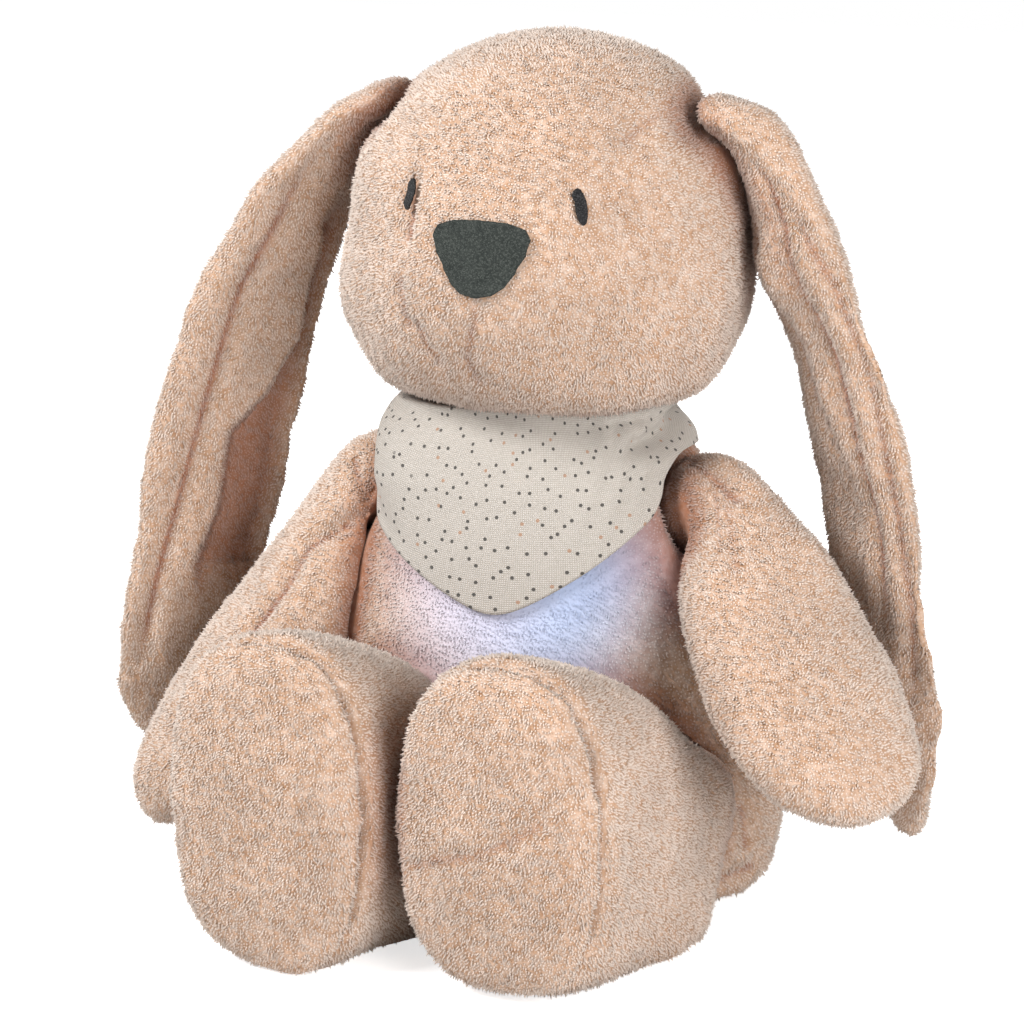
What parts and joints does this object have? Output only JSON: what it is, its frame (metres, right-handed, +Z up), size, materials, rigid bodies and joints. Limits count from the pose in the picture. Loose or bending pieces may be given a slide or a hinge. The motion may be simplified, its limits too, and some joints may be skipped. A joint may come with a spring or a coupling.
{
  "type": "plush night light",
  "caption": "Seated plush rabbit with long hanging ears and a muslin bandana, whose belly glows from a press-to-light battery unit in a pocket in its back",
  "frame": {"origin": "on the floor under the middle of the torso's flat seat", "axes": "+Z up, the face looks along -Y, the toy's own left is +X"},
  "size_m": [0.2738, 0.1796, 0.2594],
  "materials": {
    "plush_beige": "short dense pile",
    "muslin_cream": "double gauze with small dots",
    "stitch_dark": "close satin stitch",
    "stitch_black": "close satin stitch",
    "hook_and_loop_tape": "napped tape",
    "pocket_cloth": "plain weave",
    "case_white": "fine texture",
    "frosted_diffuser": "frosted, lets light through",
    "board_green": "solder mask",
    "led_lens": "clear moulded",
    "switch_black": "moulded",
    "steel": "plain",
    "cell_jacket": "plain jacket"
  },
  "bodies": {
    "torso": {"bandana": "muslin_cream", "bandana_hook_tape": "hook_and_loop_tape", "bandana_loop_tape": "hook_and_loop_tape", "battery_door": "case_white", "bezel": "case_white", "case_screw_1": "steel", "case_screw_2": "steel", "case_screw_3": "steel", "case_screw_4": "steel", "cell_1": "cell_jacket", "cell_2": "cell_jacket", "cell_3": "cell_jacket", "circuit_board": "board_green", "contact_spring_1": "steel", "contact_spring_2": "steel", "contact_spring_3": "steel", "contact_strip_left": "steel", "contact_strip_right": "steel", "door_screw": "steel", "eye_left": "stitch_black", "eye_right": "stitch_black", "head": "plush_beige", "led_1": "led_lens", "led_2": "led_lens", "led_3": "led_lens", "led_4": "led_lens", "led_5": "led_lens", "led_6": "led_lens", "nose_patch": "stitch_dark", "pocket_lining": "pocket_cloth", "press_switch": "switch_black", "rear_case": "case_white", "reflector_tray": "case_white", "return_spring_left": "steel", "return_spring_right": "steel", "torso": "plush_beige", "torso_loop_tape": "hook_and_loop_tape"},
    "arm_left": {"arm_left": "plush_beige"},
    "arm_right": {"arm_right": "plush_beige"},
    "diffuser_cap": {"diffuser_cap": "frosted_diffuser"},
    "ear_left": {"ear_left": "plush_beige"},
    "ear_right": {"ear_right": "plush_beige"},
    "leg_left": {"leg_left": "plush_beige", "sole_left": "plush_beige"},
    "leg_right": {"leg_right": "plush_beige", "sole_right": "plush_beige"},
    "pocket_flap": {"flap_hook_tape": "hook_and_loop_tape", "pocket_flap": "plush_beige"},
    "switch_plunger": {"switch_plunger": "frosted_diffuser"}
  },
  "joints": [
    {"name": "ear_lift_left", "type": "hinge", "parent": "torso", "child": "ear_left", "pos_m": [0.049, 0.002, 0.2365], "axis": [0, -1, 0], "range_deg": [0, 70]},
    {"name": "ear_lift_right", "type": "hinge", "parent": "torso", "child": "ear_right", "pos_m": [-0.049, 0.002, 0.2365], "axis": [0, 1, 0], "range_deg": [0, 70]},
    {"name": "arm_lift_left", "type": "hinge", "parent": "torso", "child": "arm_left", "pos_m": [0.0515, -0.004, 0.12], "axis": [-0.7311, -0.6823, 0], "range_deg": [0, 25]},
    {"name": "arm_lift_right", "type": "hinge", "parent": "torso", "child": "arm_right", "pos_m": [-0.0515, -0.004, 0.12], "axis": [-0.6369, 0.771, 0], "range_deg": [0, 60]},
    {"name": "leg_droop_left", "type": "hinge", "parent": "torso", "child": "leg_left", "pos_m": [0.0353, -0.03, 0.034], "axis": [1, 0, 0], "range_deg": [0, 6]},
    {"name": "leg_droop_right", "type": "hinge", "parent": "torso", "child": "leg_right", "pos_m": [-0.0353, -0.03, 0.034], "axis": [1, 0, 0], "range_deg": [0, 6]},
    {"name": "flap_open", "type": "hinge", "parent": "torso", "child": "pocket_flap", "pos_m": [0, 0.03902, 0.1314], "axis": [1, 0, 0], "range_deg": [0, 95]},
    {"name": "cap_press", "type": "slide", "parent": "torso", "child": "diffuser_cap", "axis": [0, 1, 0], "range_m": [0, 0.0015], "stiffness_N_per_m": 400, "springref_m": -0.002, "deforming": ["return_spring_left", "return_spring_right"]},
    {"name": "plunger_press", "type": "slide", "parent": "torso", "child": "switch_plunger", "axis": [0, 1, 0], "range_m": [0, 0.0015]}
  ],
  "couplings": [
    {"joint": "plunger_press", "follows": "cap_press", "ratio": 1}
  ]
}
